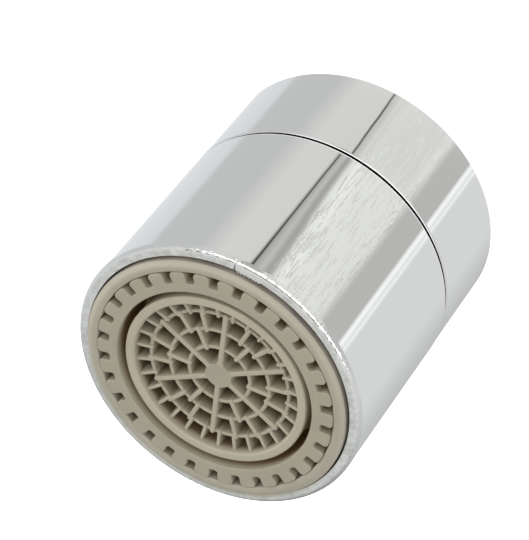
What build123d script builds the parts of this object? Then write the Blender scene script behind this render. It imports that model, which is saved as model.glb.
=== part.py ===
from build123d import *
import os

# Swivel tap aerator, standing on its inlet end: z = 0 is the flat face that meets the tap, and +Z is
# the way the water flows, up to the outlet. All sizes are in millimetres and radii are from the Z axis.

os.makedirs("parts", exist_ok=True)

# Chromed shell
housing_radius = 13.0
housing_wall = 1.0
housing_end_wall = 2.0
gasket_seat_step = 1.0
collar_inset = 0.05
collar_height = 9.9
collar_end_wall = 2.0
seam_gap = 0.28
seam_edge_round = 0.25
inlet_edge_round = 0.3
lip_round = 0.7
lip_inner_chamfer = 0.15

# Tap thread, M22 x 1, left as its minor bore
thread_wall = 1.95
thread_depth = 0.54
thread_entry = 0.7
relief_depth = 0.15

# Tailpiece that joins collar and housing
running_clearance = 0.05
flange_clearance = 0.26
flange_overlap = 2.65
flange_thickness = 1.4
flange_edge_chamfer = 0.2
stem_shoulder = 1.05
stem_wall = 1.5
thread_clearance = 0.04
hex_bite = 0.5
hex_depth = 2.6
slip_ring_thickness = 0.5
slip_ring_clearance = 0.1
stem_seal_recess_width = 1.0
stem_seal_recess_depth = 0.8

# Rubber
washer_thickness = 1.8
washer_overlap = 3.0
washer_clearance = 0.06
washer_seat_gap = 0.1
gasket_thickness = 2.0
gasket_width = 3.8
gasket_clearance = 0.1
cartridge_seal_section = 0.5
seal_clearance = 0.03

# Cartridge sleeve, the plain outer ring of the outlet
sleeve_clearance = 0.15
sleeve_rim = 1.0
sleeve_ledge = 1.0
sleeve_nose_length = 1.45
sleeve_nose_clearance = 0.1
sleeve_lip_thickness = 0.6
sleeve_lip_width = 0.85
shoulder_clearance = 0.05
sleeve_seal_offset = 1.25
sleeve_seal_groove_width = 1.15
snap_bead_offset = 6.37
snap_bead_height = 0.3
snap_bead_width = 0.8
snap_clearance = 0.1
sleeve_outer_edge_drop = 0.5
sleeve_crown_drop = 0.14
sleeve_inner_edge_drop = 0.35

# Slotted ring with its air slots
face_proud = 0.65
slot_count = 30
slot_width = 0.78
slot_depth = 1.04
slot_corner_round = 0.2
tooth_corner_round = 0.22
tooth_clearance = 0.06
slotted_face_thickness = 1.6
skirt_thickness = 0.75
skirt_clearance = 0.15
grid_bead_height = 0.2
grid_bead_width = 0.5

# Outlet grid: tube and honeycomb
groove_width = 0.63
tube_wall = 0.71
tube_drop = 0.27
tube_edge_round = 0.2
grid_height = 4.07
grid_drop = 1.0
ring_wall_drop = 0.14
grid_foot_thickness = 0.8
fit_clearance = 0.05
hub_radius = 1.15
hub_corner_round = 0.35
first_cell_depth = 1.65
ring_pitch = 1.775
ring_wall_thickness = 0.3
wall_overrun = 0.12
spoke_count = 6
spoke_width = 0.42
spoke_angle = -17.5
cell_wall_width = 0.37
least_outer_cell = 1.0
outer_cell_width = 0.28
outer_cell_count = 30
outer_cell_angle = 6.0
outer_cell_rise = 0.3

# Inner stack of the cartridge
strainer_flange_thickness = 0.7
strainer_height = 1.9
strainer_brim = 2.0
strainer_wall = 0.6
strainer_slot_width = 0.5
strainer_slot_length = 1.3
strainer_slot_count = 6
strainer_first_row = 1.6
strainer_row_pitch = 1.85
regulator_thickness = 2.0
regulator_rim = 1.4
regulator_pocket_depth = 1.5
regulator_pocket_width = 2.9
regulator_rib_count = 8
regulator_rib_radius = 0.3
regulator_port_radius = 0.45
regulator_ring_section = 0.65
jet_plate_thickness = 1.4
jet_count = 12
jet_radius = 0.5
jet_inset = 1.6
jet_cone_inset = 2.1
jet_cone_height = 1.1
mixing_height = 2.2
mixing_wall = 1.6
window_count = 10
window_width = 2.6
window_margin = 0.45
spigot_height = 0.8
screen_thickness = 0.25
screen_spacer_height = 0.5
screen_spacer_width = 0.8

# Heights worked out from the sizes above
slip_ring_top = collar_height - collar_end_wall
flange_top = slip_ring_top - slip_ring_thickness
flange_bottom = flange_top - flange_thickness
washer_bottom = flange_bottom - washer_thickness
thread_top = washer_bottom - washer_seat_gap
seam_z = collar_height + seam_gap
housing_floor = seam_z + housing_end_wall
sleeve_bottom = housing_floor + gasket_thickness
sleeve_shoulder = sleeve_bottom + sleeve_nose_length
snap_bead_z = sleeve_shoulder + snap_bead_offset
strainer_bottom = sleeve_bottom + sleeve_lip_thickness
regulator_bottom = strainer_bottom + strainer_flange_thickness
jet_bottom = regulator_bottom + regulator_thickness
mixing_bottom = jet_bottom + jet_plate_thickness
skirt_bottom = mixing_bottom + mixing_height
upper_screen_bottom = skirt_bottom + spigot_height
spacer_bottom = upper_screen_bottom + screen_thickness
middle_screen_bottom = spacer_bottom + screen_spacer_height
lower_screen_bottom = middle_screen_bottom + screen_thickness
grid_bottom = lower_screen_bottom + screen_thickness
grid_top = grid_bottom + grid_height
face_z = grid_top + grid_drop
tube_top = face_z - tube_drop
lip_z = face_z - face_proud

# Radii of the shell, worked out from the outside in
collar_radius = housing_radius - collar_inset
thread_major_radius = collar_radius - thread_wall
thread_minor_radius = thread_major_radius - thread_depth
relief_radius = thread_major_radius + relief_depth
flange_radius = thread_minor_radius - flange_clearance
neck_radius = flange_radius - flange_overlap
neck_bore_radius = neck_radius + running_clearance
stem_thread_radius = neck_radius - stem_shoulder
waterway_radius = stem_thread_radius - stem_wall
washer_inner_radius = flange_radius - washer_overlap
stem_seal_recess_radius = stem_thread_radius + stem_seal_recess_width
outlet_bore_radius = housing_radius - housing_wall
gasket_bore_radius = outlet_bore_radius - gasket_seat_step
gasket_inner_radius = gasket_bore_radius - gasket_width

# Radii of the cartridge, worked out from the outside in
sleeve_radius = outlet_bore_radius - sleeve_clearance
air_channel_radius = sleeve_radius - sleeve_rim
sleeve_bore_radius = air_channel_radius - sleeve_ledge
sleeve_lip_radius = sleeve_bore_radius - sleeve_lip_width
tooth_radius = air_channel_radius - tooth_clearance
slot_floor_radius = tooth_radius - slot_depth
skirt_radius = sleeve_bore_radius - skirt_clearance
slotted_inner_radius = skirt_radius - skirt_thickness
tube_outer_radius = slotted_inner_radius - groove_width
tube_inner_radius = tube_outer_radius - tube_wall
inner_stack_radius = sleeve_bore_radius - fit_clearance
screen_radius = slotted_inner_radius - 2 * fit_clearance
mixing_inner_radius = inner_stack_radius - mixing_wall
jet_circle_radius = mixing_inner_radius - jet_inset
jet_cone_radius = jet_circle_radius - jet_cone_inset
strainer_base_radius = sleeve_lip_radius - strainer_brim
regulator_pocket_radius = strainer_base_radius - regulator_rim
regulator_core_radius = regulator_pocket_radius - regulator_pocket_width
regulator_ring_radius = (regulator_core_radius + regulator_pocket_radius) / 2


def half_section(*points):
    """Face on the XZ plane, from (radius, z) points joined in order."""
    with BuildSketch(Plane.XZ) as section:
        with BuildLine():
            Polyline(*points, close=True)
        make_face()
    return section.sketch


def plain_ring(inner, outer, bottom, top):
    """Half section of a ring with a rectangular section."""
    return half_section((inner, bottom), (outer, bottom), (outer, top), (inner, top))


# Collar: turned sleeve with the tap thread and an end wall that traps the tailpiece
with BuildPart() as collar:
    revolve(
        half_section(
            (thread_major_radius, 0),
            (collar_radius, 0),
            (collar_radius, collar_height),
            (neck_bore_radius, collar_height),
            (neck_bore_radius, slip_ring_top),
            (relief_radius, slip_ring_top),
            (relief_radius, thread_top),
            (thread_minor_radius, thread_top),
            (thread_minor_radius, thread_entry),
        ),
        axis=Axis.Z,
    )
    outer_edges = collar.edges().filter_by(GeomType.CIRCLE).group_by(SortBy.RADIUS)[-1]
    fillet(outer_edges.sort_by(Axis.Z)[-1], seam_edge_round)
    outer_edges = collar.edges().filter_by(GeomType.CIRCLE).group_by(SortBy.RADIUS)[-1]
    fillet(outer_edges.sort_by(Axis.Z)[0], inlet_edge_round)
collar.part.label = "collar"
export_step(collar.part, "parts/collar.step")

# Flat washer that the tap's end presses against the tailpiece
with BuildPart() as inlet_washer:
    revolve(
        plain_ring(
            washer_inner_radius,
            thread_minor_radius - washer_clearance,
            washer_bottom,
            flange_bottom,
        ),
        axis=Axis.Z,
    )
inlet_washer.part.label = "inlet_washer"
export_step(inlet_washer.part, "parts/inlet_washer.step")

# Low-friction ring on which the tailpiece's flange turns
with BuildPart() as slip_ring:
    revolve(
        plain_ring(neck_radius + slip_ring_clearance, flange_radius, flange_top, slip_ring_top),
        axis=Axis.Z,
    )
slip_ring.part.label = "slip_ring"
export_step(slip_ring.part, "parts/slip_ring.step")

# Tailpiece: flange inside the collar, neck through its end wall, thread in the housing
with BuildPart() as stem:
    revolve(
        half_section(
            (waterway_radius, flange_bottom),
            (flange_radius - flange_edge_chamfer, flange_bottom),
            (flange_radius, flange_bottom + flange_edge_chamfer),
            (flange_radius, flange_top),
            (neck_radius, flange_top),
            (neck_radius, seam_z),
            (stem_thread_radius - thread_clearance, seam_z),
            (stem_thread_radius - thread_clearance, housing_floor),
            (waterway_radius, housing_floor),
        ),
        axis=Axis.Z,
    )
    with BuildSketch(Plane.XY.offset(flange_bottom)):
        RegularPolygon(waterway_radius + hex_bite, 6, major_radius=False)
    extrude(amount=hex_depth, mode=Mode.SUBTRACT)
stem.part.label = "stem"
export_step(stem.part, "parts/stem.step")

# O-ring in the housing's recess, closed by the tailpiece's shoulder
seal_inner = stem_thread_radius - thread_clearance
stem_seal_section = min(stem_seal_recess_radius - seal_inner, stem_seal_recess_depth) / 2
with BuildPart() as stem_seal:
    with BuildSketch(Plane.XZ):
        with Locations(((seal_inner + stem_seal_recess_radius) / 2, seam_z + stem_seal_recess_depth / 2)):
            Circle(stem_seal_section - seal_clearance)
    revolve(axis=Axis.Z)
stem_seal.part.label = "stem_seal"
export_step(stem_seal.part, "parts/stem_seal.step")

# Housing: turned shell, open at the outlet, with a rounded lip
housing_step = sleeve_shoulder - shoulder_clearance
groove_half = snap_bead_width / 2 + snap_clearance
groove_radius = sleeve_radius + snap_bead_height + snap_clearance
with BuildPart() as housing:
    revolve(
        half_section(
            (stem_seal_recess_radius, seam_z),
            (housing_radius, seam_z),
            (housing_radius, lip_z),
            (outlet_bore_radius + lip_inner_chamfer, lip_z),
            (outlet_bore_radius, lip_z - lip_inner_chamfer),
            (outlet_bore_radius, snap_bead_z + groove_half),
            (groove_radius, snap_bead_z + groove_half),
            (groove_radius, snap_bead_z - groove_half),
            (outlet_bore_radius, snap_bead_z - groove_half),
            (outlet_bore_radius, housing_step),
            (gasket_bore_radius, housing_step),
            (gasket_bore_radius, housing_floor),
            (stem_thread_radius, housing_floor),
            (stem_thread_radius, seam_z + stem_seal_recess_depth),
            (stem_seal_recess_radius, seam_z + stem_seal_recess_depth),
        ),
        axis=Axis.Z,
    )
    outer_edges = housing.edges().filter_by(GeomType.CIRCLE).group_by(SortBy.RADIUS)[-1]
    fillet(outer_edges.sort_by(Axis.Z)[0], seam_edge_round)
    outer_edges = housing.edges().filter_by(GeomType.CIRCLE).group_by(SortBy.RADIUS)[-1]
    fillet(outer_edges.sort_by(Axis.Z)[-1], lip_round)
housing.part.label = "housing"
export_step(housing.part, "parts/housing.step")

# Gasket between the housing's end wall and the cartridge
with BuildPart() as cartridge_gasket:
    revolve(
        plain_ring(
            gasket_inner_radius,
            gasket_bore_radius - gasket_clearance,
            housing_floor,
            sleeve_bottom,
        ),
        axis=Axis.Z,
    )
cartridge_gasket.part.label = "cartridge_gasket"
export_step(cartridge_gasket.part, "parts/cartridge_gasket.step")

# Cartridge sleeve: moulded casing with a domed outlet edge, a seal groove and a snap bead
nose_radius = gasket_bore_radius - sleeve_nose_clearance
seal_z = sleeve_shoulder + sleeve_seal_offset
seal_groove_radius = outlet_bore_radius - 2 * (cartridge_seal_section + seal_clearance)
bead_base = snap_bead_width / 2
bead_tip = bead_base - snap_bead_height
crown_radius = (air_channel_radius + sleeve_radius) / 2
with BuildPart() as cartridge_sleeve:
    with BuildSketch(Plane.XZ):
        with BuildLine():
            Polyline(
                (air_channel_radius, face_z - sleeve_inner_edge_drop),
                (air_channel_radius, mixing_bottom),
                (sleeve_bore_radius, mixing_bottom),
                (sleeve_bore_radius, strainer_bottom),
                (sleeve_lip_radius, strainer_bottom),
                (sleeve_lip_radius, sleeve_bottom),
                (nose_radius, sleeve_bottom),
                (nose_radius, sleeve_shoulder),
                (sleeve_radius, sleeve_shoulder),
                (sleeve_radius, seal_z - sleeve_seal_groove_width / 2),
                (seal_groove_radius, seal_z - sleeve_seal_groove_width / 2),
                (seal_groove_radius, seal_z + sleeve_seal_groove_width / 2),
                (sleeve_radius, seal_z + sleeve_seal_groove_width / 2),
                (sleeve_radius, snap_bead_z - bead_base),
                (sleeve_radius + snap_bead_height, snap_bead_z - bead_tip),
                (sleeve_radius + snap_bead_height, snap_bead_z + bead_tip),
                (sleeve_radius, snap_bead_z + bead_base),
                (sleeve_radius, face_z - sleeve_outer_edge_drop),
            )
            ThreePointArc(
                (sleeve_radius, face_z - sleeve_outer_edge_drop),
                (crown_radius, face_z - sleeve_crown_drop),
                (air_channel_radius, face_z - sleeve_inner_edge_drop),
            )
        make_face()
    revolve(axis=Axis.Z)
cartridge_sleeve.part.label = "cartridge_sleeve"
export_step(cartridge_sleeve.part, "parts/cartridge_sleeve.step")

# O-ring round the sleeve
with BuildPart() as cartridge_o_ring:
    with BuildSketch(Plane.XZ):
        with Locations(((seal_groove_radius + outlet_bore_radius) / 2, seal_z)):
            Circle(cartridge_seal_section)
    revolve(axis=Axis.Z)
cartridge_o_ring.part.label = "cartridge_o_ring"
export_step(cartridge_o_ring.part, "parts/cartridge_o_ring.step")

# Dome strainer: slotted cap that keeps grit out of the cartridge, between two spheres on one centre
strainer_tip = strainer_bottom - strainer_height
dome_radius = (strainer_base_radius**2 + strainer_height**2) / (2 * strainer_height)
dome_inner_radius = dome_radius - strainer_wall
dome_centre = strainer_tip + dome_radius
dome_middle = strainer_base_radius / 2
dome_inner_edge = (dome_inner_radius**2 - (dome_centre - strainer_bottom) ** 2) ** 0.5
last_row_limit = strainer_base_radius - strainer_slot_length
strainer_row_count = 1 + int((last_row_limit - strainer_first_row) / strainer_row_pitch)
with BuildPart() as strainer_dome:
    with BuildSketch(Plane.XZ):
        with BuildLine():
            ThreePointArc(
                (0, strainer_tip),
                (dome_middle, dome_centre - (dome_radius**2 - dome_middle**2) ** 0.5),
                (strainer_base_radius, strainer_bottom),
            )
            Polyline(
                (strainer_base_radius, strainer_bottom),
                (inner_stack_radius, strainer_bottom),
                (inner_stack_radius, regulator_bottom),
                (dome_inner_edge, regulator_bottom),
                (dome_inner_edge, strainer_bottom),
            )
            ThreePointArc(
                (dome_inner_edge, strainer_bottom),
                (dome_middle, dome_centre - (dome_inner_radius**2 - dome_middle**2) ** 0.5),
                (0, strainer_tip + strainer_wall),
            )
            Line((0, strainer_tip + strainer_wall), (0, strainer_tip))
        make_face()
    revolve(axis=Axis.Z)
    with BuildSketch(Plane.XY.offset(strainer_tip)):
        for row in range(strainer_row_count):
            row_radius = strainer_first_row + row * strainer_row_pitch
            with PolarLocations(row_radius, strainer_slot_count * (row + 1)):
                SlotOverall(strainer_slot_length, strainer_slot_width)
    extrude(amount=regulator_bottom - strainer_tip, mode=Mode.SUBTRACT)
strainer_dome.part.label = "strainer_dome"
export_step(strainer_dome.part, "parts/strainer_dome.step")

# Flow regulator: disc with a ribbed core in a ring pocket, and ports through its floor
with BuildPart() as regulator_body:
    revolve(
        half_section(
            (0, regulator_bottom),
            (regulator_core_radius, regulator_bottom),
            (regulator_core_radius, regulator_bottom + regulator_pocket_depth),
            (regulator_pocket_radius, regulator_bottom + regulator_pocket_depth),
            (regulator_pocket_radius, regulator_bottom),
            (inner_stack_radius, regulator_bottom),
            (inner_stack_radius, jet_bottom),
            (0, jet_bottom),
        ),
        axis=Axis.Z,
    )
    with BuildSketch(Plane.XY.offset(regulator_bottom)):
        with PolarLocations(regulator_core_radius, regulator_rib_count):
            Circle(regulator_rib_radius)
    extrude(amount=regulator_pocket_depth)
    with BuildSketch(Plane.XY.offset(regulator_bottom)):
        with PolarLocations(regulator_ring_radius, regulator_rib_count):
            Circle(regulator_port_radius)
    extrude(amount=regulator_thickness, mode=Mode.SUBTRACT)
regulator_body.part.label = "regulator_body"
export_step(regulator_body.part, "parts/regulator_body.step")

# Rubber ring that narrows the regulator's gap as the pressure rises
with BuildPart() as regulator_ring:
    with BuildSketch(Plane.XZ):
        with Locations(
            (
                regulator_ring_radius,
                regulator_bottom + regulator_pocket_depth - regulator_ring_section - seal_clearance,
            )
        ):
            Circle(regulator_ring_section)
    revolve(axis=Axis.Z)
regulator_ring.part.label = "regulator_ring"
export_step(regulator_ring.part, "parts/regulator_ring.step")

# Jet plate: small holes make the jets, and a low cone spreads them
with BuildPart() as jet_plate:
    revolve(
        half_section(
            (0, jet_bottom),
            (inner_stack_radius, jet_bottom),
            (inner_stack_radius, mixing_bottom),
            (jet_cone_radius, mixing_bottom),
            (0, mixing_bottom + jet_cone_height),
        ),
        axis=Axis.Z,
    )
    with BuildSketch(Plane.XY.offset(jet_bottom)):
        with PolarLocations(regulator_ring_radius, regulator_rib_count):
            Circle(jet_radius)
        with PolarLocations(jet_circle_radius, jet_count):
            Circle(jet_radius)
    extrude(amount=jet_plate_thickness + jet_cone_height, mode=Mode.SUBTRACT)
jet_plate.part.label = "jet_plate"
export_step(jet_plate.part, "parts/jet_plate.step")

# Mixing ring: air comes in through its windows and joins the jets
with BuildPart() as mixing_ring:
    revolve(
        half_section(
            (mixing_inner_radius, mixing_bottom),
            (inner_stack_radius, mixing_bottom),
            (inner_stack_radius, skirt_bottom),
            (screen_radius, skirt_bottom),
            (screen_radius, upper_screen_bottom),
            (mixing_inner_radius, upper_screen_bottom),
        ),
        axis=Axis.Z,
    )
    window_height = mixing_height - 2 * window_margin
    with BuildSketch(Plane.XY.offset(mixing_bottom + window_margin)):
        with PolarLocations((mixing_inner_radius + inner_stack_radius) / 2, window_count):
            Rectangle(2 * (inner_stack_radius - mixing_inner_radius), window_width)
    extrude(amount=window_height, mode=Mode.SUBTRACT)
mixing_ring.part.label = "mixing_ring"
export_step(mixing_ring.part, "parts/mixing_ring.step")

# Three mesh discs, the upper one held off by a spacer
for screen_name, screen_bottom in (
    ("upper_screen", upper_screen_bottom),
    ("middle_screen", middle_screen_bottom),
    ("lower_screen", lower_screen_bottom),
):
    with BuildPart() as screen:
        with BuildSketch(Plane.XY.offset(screen_bottom)):
            Circle(screen_radius)
        extrude(amount=screen_thickness)
    screen.part.label = screen_name
    export_step(screen.part, f"parts/{screen_name}.step")

with BuildPart() as screen_spacer:
    revolve(
        plain_ring(
            screen_radius - screen_spacer_width,
            screen_radius,
            spacer_bottom,
            middle_screen_bottom,
        ),
        axis=Axis.Z,
    )
screen_spacer.part.label = "screen_spacer"
export_step(screen_spacer.part, "parts/screen_spacer.step")

# Slotted ring: flat face cut by air slots, on a skirt that reaches down to the mixing ring
slot_length = air_channel_radius - slot_floor_radius + slot_width
bead_z = grid_bottom + grid_foot_thickness + fit_clearance
slotted_face_bottom = face_z - slotted_face_thickness
with BuildPart() as slotted_ring:
    with BuildSketch(Plane.XY.offset(slotted_face_bottom)) as slotted_face:
        Circle(tooth_radius)
        with PolarLocations(slot_floor_radius + slot_length / 2, slot_count):
            RectangleRounded(slot_length, slot_width, slot_corner_round, mode=Mode.SUBTRACT)
        fillet(slotted_face.vertices().group_by(SortBy.DISTANCE)[-1], tooth_corner_round)
        Circle(slotted_inner_radius, mode=Mode.SUBTRACT)
    extrude(amount=slotted_face_thickness)
    revolve(
        half_section(
            (slotted_inner_radius, skirt_bottom),
            (skirt_radius, skirt_bottom),
            (skirt_radius, slotted_face_bottom),
            (slotted_inner_radius, slotted_face_bottom),
            (slotted_inner_radius, bead_z + grid_bead_width),
            (slotted_inner_radius - grid_bead_height, bead_z + grid_bead_width - grid_bead_height),
            (slotted_inner_radius - grid_bead_height, bead_z),
            (slotted_inner_radius, bead_z),
        ),
        axis=Axis.Z,
    )
slotted_ring.part.label = "slotted_ring"
export_step(slotted_ring.part, "parts/slotted_ring.step")

# Outlet grid: tube with a foot, and inside it the honeycomb. The spokes and the short radial walls stand
# a little above the round walls and overrun them, and the outermost walls slope up to the tube.
first_ring_radius = hub_radius + first_cell_depth
ring_count = 1 + int((tube_inner_radius - least_outer_cell - first_ring_radius) / ring_pitch)
ring_radii = [first_ring_radius + ring * ring_pitch for ring in range(ring_count)]
overlap = ring_wall_thickness / 2 + wall_overrun
spoke_length = ring_radii[-1] + overlap
outer_cell_middle = (ring_radii[-1] + tube_inner_radius) / 2
outer_cell_length = tube_inner_radius - ring_radii[-1] + 2 * overlap
with BuildPart() as outlet_grid:
    revolve(
        half_section(
            (tube_inner_radius, grid_bottom),
            (slotted_inner_radius - fit_clearance, grid_bottom),
            (slotted_inner_radius - fit_clearance, grid_bottom + grid_foot_thickness),
            (tube_outer_radius, grid_bottom + grid_foot_thickness),
            (tube_outer_radius, tube_top),
            (tube_inner_radius, tube_top),
        ),
        axis=Axis.Z,
    )
    fillet(outlet_grid.edges().group_by(Axis.Z)[-1], tube_edge_round)
    with BuildSketch(Plane.XY.offset(grid_bottom)) as star:
        Circle(hub_radius)
        with PolarLocations(spoke_length / 2, spoke_count, spoke_angle):
            SlotOverall(spoke_length, spoke_width)
        for ring, ring_radius in enumerate(ring_radii[:-1], start=1):
            for cell in range(1, ring + 1):
                cell_angle = spoke_angle + 360 / spoke_count * cell / (ring + 1)
                with PolarLocations(ring_radius + ring_pitch / 2, spoke_count, cell_angle):
                    SlotOverall(ring_pitch + 2 * overlap, cell_wall_width)
        fillet(star.vertices().group_by(SortBy.DISTANCE)[0], hub_corner_round)
    extrude(amount=grid_top - grid_bottom)
    with BuildSketch(Plane.XY.offset(grid_bottom)):
        with PolarLocations(outer_cell_middle, outer_cell_count, spoke_angle + outer_cell_angle):
            SlotOverall(outer_cell_length, outer_cell_width)
    extrude(amount=grid_height + outer_cell_rise)
    revolve(
        half_section(
            (ring_radii[-1] - overlap, grid_top),
            (tube_inner_radius, grid_top + outer_cell_rise),
            (tube_inner_radius, face_z),
            (ring_radii[-1] - overlap, face_z),
        ),
        axis=Axis.Z,
        mode=Mode.SUBTRACT,
    )
    with BuildSketch(Plane.XY.offset(grid_bottom)):
        for ring_radius in reversed(ring_radii):
            Circle(ring_radius + ring_wall_thickness / 2)
            Circle(ring_radius - ring_wall_thickness / 2, mode=Mode.SUBTRACT)
    extrude(amount=grid_height - ring_wall_drop)
outlet_grid.part.label = "outlet_grid"
export_step(outlet_grid.part, "parts/outlet_grid.step")
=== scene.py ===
import bpy
import numpy as np
from mathutils import Matrix, Vector


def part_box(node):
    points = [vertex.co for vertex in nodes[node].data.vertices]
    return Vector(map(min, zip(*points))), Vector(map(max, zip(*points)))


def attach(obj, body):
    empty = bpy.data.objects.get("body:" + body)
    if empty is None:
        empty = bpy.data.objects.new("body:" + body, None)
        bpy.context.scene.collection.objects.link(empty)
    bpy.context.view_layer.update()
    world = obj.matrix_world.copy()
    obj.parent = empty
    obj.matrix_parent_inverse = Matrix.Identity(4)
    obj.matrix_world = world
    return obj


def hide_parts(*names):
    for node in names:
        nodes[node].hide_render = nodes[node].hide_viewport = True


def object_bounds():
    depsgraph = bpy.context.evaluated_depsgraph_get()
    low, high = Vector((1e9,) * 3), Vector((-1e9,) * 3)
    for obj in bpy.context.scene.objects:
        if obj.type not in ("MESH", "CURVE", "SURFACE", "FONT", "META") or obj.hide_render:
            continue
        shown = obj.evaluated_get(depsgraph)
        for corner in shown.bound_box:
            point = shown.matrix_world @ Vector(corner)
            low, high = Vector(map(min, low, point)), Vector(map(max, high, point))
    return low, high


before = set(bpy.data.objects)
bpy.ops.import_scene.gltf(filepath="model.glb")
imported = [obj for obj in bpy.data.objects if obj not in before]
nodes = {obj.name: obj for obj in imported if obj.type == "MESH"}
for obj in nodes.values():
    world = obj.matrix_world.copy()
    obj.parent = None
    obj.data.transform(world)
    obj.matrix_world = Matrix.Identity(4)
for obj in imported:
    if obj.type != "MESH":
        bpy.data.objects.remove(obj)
cad_low, cad_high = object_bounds()


# Collar: a brass sleeve turned from bar, with the M22 x 1 thread for the tap inside, chrome plated
# and polished outside. It turns on the tailpiece as a union nut does, so it is a body of its own.


def limits(node):
    """Lowest and highest corner of a node, in millimetres."""
    low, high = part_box(node)
    return np.array(low) * 1000, np.array(high) * 1000


def rounded_outline(corners, arc_points=6, margin=0.02):
    """Closed outline through (across, up, rounding) corners. An arc touches both sides of its
    corner at rounding / tan(half the angle between them), and its centre is rounding / sin(half)
    along the bisector. A point a margin before and after each arc keeps its shading off the
    flats."""
    corners = np.array(corners, float)
    points = []
    for before, here, after in zip(np.roll(corners, 1, 0), corners, np.roll(corners, -1, 0)):
        if here[2] == 0:
            points.append(here[:2])
            continue
        back = (before - here)[:2] / np.hypot(*(before - here)[:2])
        ahead = (after - here)[:2] / np.hypot(*(after - here)[:2])
        half = np.arccos(np.clip(back @ ahead, -1, 1)) / 2
        bisector = (back + ahead) / np.hypot(*(back + ahead))
        centre = here[:2] + bisector * here[2] / np.sin(half)
        first = here[:2] + back * here[2] / np.tan(half) - centre
        last = here[:2] + ahead * here[2] / np.tan(half) - centre
        turn = np.pi - 2 * half
        share = np.linspace(0, 1, arc_points)[:, None]
        arc = np.sin((1 - share) * turn) * first + np.sin(share * turn) * last
        points.append(here[:2] + back * (here[2] / np.tan(half) + margin))
        points.extend(centre + arc / np.sin(turn))
        points.append(here[:2] + ahead * (here[2] / np.tan(half) + margin))
    return np.array(points)


def revolved(outline, columns):
    """Points of a section carried round the Z axis: (radius cos a, radius sin a, height), a row
    for each outline point and a column for each angle a."""
    angle = np.linspace(0, 2 * np.pi, columns, endpoint=False)
    radius, height = outline[:, :1], outline[:, 1:]
    return np.stack(
        [radius * np.cos(angle), radius * np.sin(angle), height + 0 * angle], axis=-1
    )


def piece(name, shells, finishes, sharp_angle=40):
    """One object from grids of points in millimetres. Columns always close on themselves. A shell
    is (points, closed, finish): rows close too if closed, and get a flat cap at both ends if not.
    The finish is one number, one for each row, or one for each row and column."""
    vertices, faces, finish = [], [], []
    start = 0
    for points, closed, face_finish in shells:
        rows, columns = points.shape[:2]
        index = start + np.arange(rows * columns).reshape(rows, columns)
        if closed:
            index = np.vstack([index, index[:1]])
        beside = np.roll(index, -1, 1)
        quads = np.stack([index[:-1], beside[:-1], beside[1:], index[1:]], -1)
        faces += quads.reshape(-1, 4).tolist()
        face_finish = np.asarray(face_finish)
        if face_finish.ndim == 1:
            face_finish = face_finish[:, None]
        finish += np.broadcast_to(face_finish, (rows, columns))[: len(quads)].ravel().tolist()
        if not closed:
            faces += [index[0, ::-1].tolist(), index[-1].tolist()]
            finish += [int(face_finish.flat[0]), int(face_finish.flat[-1])]
        vertices.append(points.reshape(-1, 3) / 1000)
        start += rows * columns
    mesh = bpy.data.meshes.new(name)
    mesh.from_pydata(np.concatenate(vertices), [], faces)
    for material in finishes:
        mesh.materials.append(material)
    mesh.polygons.foreach_set("material_index", np.array(finish, np.int32))
    mesh.shade_smooth()
    mesh.set_sharp_from_angle(angle=np.radians(sharp_angle))
    made = bpy.data.objects.new(name, mesh)
    bpy.context.scene.collection.objects.link(made)
    return made


def add(tree, kind, inputs=None, **settings):
    """Adds a shader node. An input takes a number, a colour or another node's output."""
    made = tree.nodes.new(kind)
    for name, value in settings.items():
        setattr(made, name, value)
    for name, value in (inputs or {}).items():
        if isinstance(value, bpy.types.NodeSocket):
            tree.links.new(value, made.inputs[name])
        else:
            made.inputs[name].default_value = value
    return made


def calculated(tree, operation, first, second=0.0):
    """Result of one sum on one or two values."""
    return add(tree, "ShaderNodeMath", {0: first, 1: second}, operation=operation).outputs[0]


def between(tree, value, low, high, to_low=0.0, to_high=1.0):
    """Maps low..high smoothly to to_low..to_high, and stays there outside it."""
    return add(
        tree,
        "ShaderNodeMapRange",
        {"Value": value, "From Min": low, "From Max": high, "To Min": to_low, "To Max": to_high},
        interpolation_type="SMOOTHSTEP",
    ).outputs["Result"]


def clouds(tree, place, per_metre, detail, **inputs):
    """Cloudy noise from 0 to 1, with about so many clouds to a metre."""
    inputs.update({"Vector": place, "Scale": per_metre, "Detail": detail})
    return add(tree, "ShaderNodeTexNoise", inputs).outputs["Fac"]


def mixed(tree, factor, first, second):
    """Colour that goes from the first to the second as the factor goes from 0 to 1."""
    inputs = {"Factor": factor, "A": first, "B": second}
    return add(tree, "ShaderNodeMix", inputs, data_type="RGBA").outputs[2]


def raised(tree, height, strength, metres, under=None):
    """Relief that lifts a surface by up to so many metres, on top of the relief under it."""
    inputs = {"Height": height, "Strength": strength, "Distance": metres}
    if under is not None:
        inputs["Normal"] = under
    return add(tree, "ShaderNodeBump", inputs).outputs[0]


def new_material(name):
    """Empty material and its node tree, with the position on the object in metres."""
    material = bpy.data.materials.new(name)
    material.use_nodes = True
    tree = material.node_tree
    tree.nodes.clear()
    place = add(tree, "ShaderNodeTexCoord").outputs["Object"]
    return material, tree, place


def finish_material(tree, relief, inputs):
    """Ends a material in a surface with this relief and these inputs."""
    surface = add(tree, "ShaderNodeBsdfPrincipled", {**inputs, "Normal": relief})
    add(tree, "ShaderNodeOutputMaterial", {"Surface": surface.outputs["BSDF"]})


chrome_colour = (0.86, 0.87, 0.875, 1)
streak_middle, streak_reach = np.radians(-104), np.radians(13)
streaks_per_metre, streak_stretch = 3600, 0.11
waves_per_metre, wave_height = 240, 0.00002
smears_per_metre = 420
mirror_bright, mirror_dull = 0.012, 0.03


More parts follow.
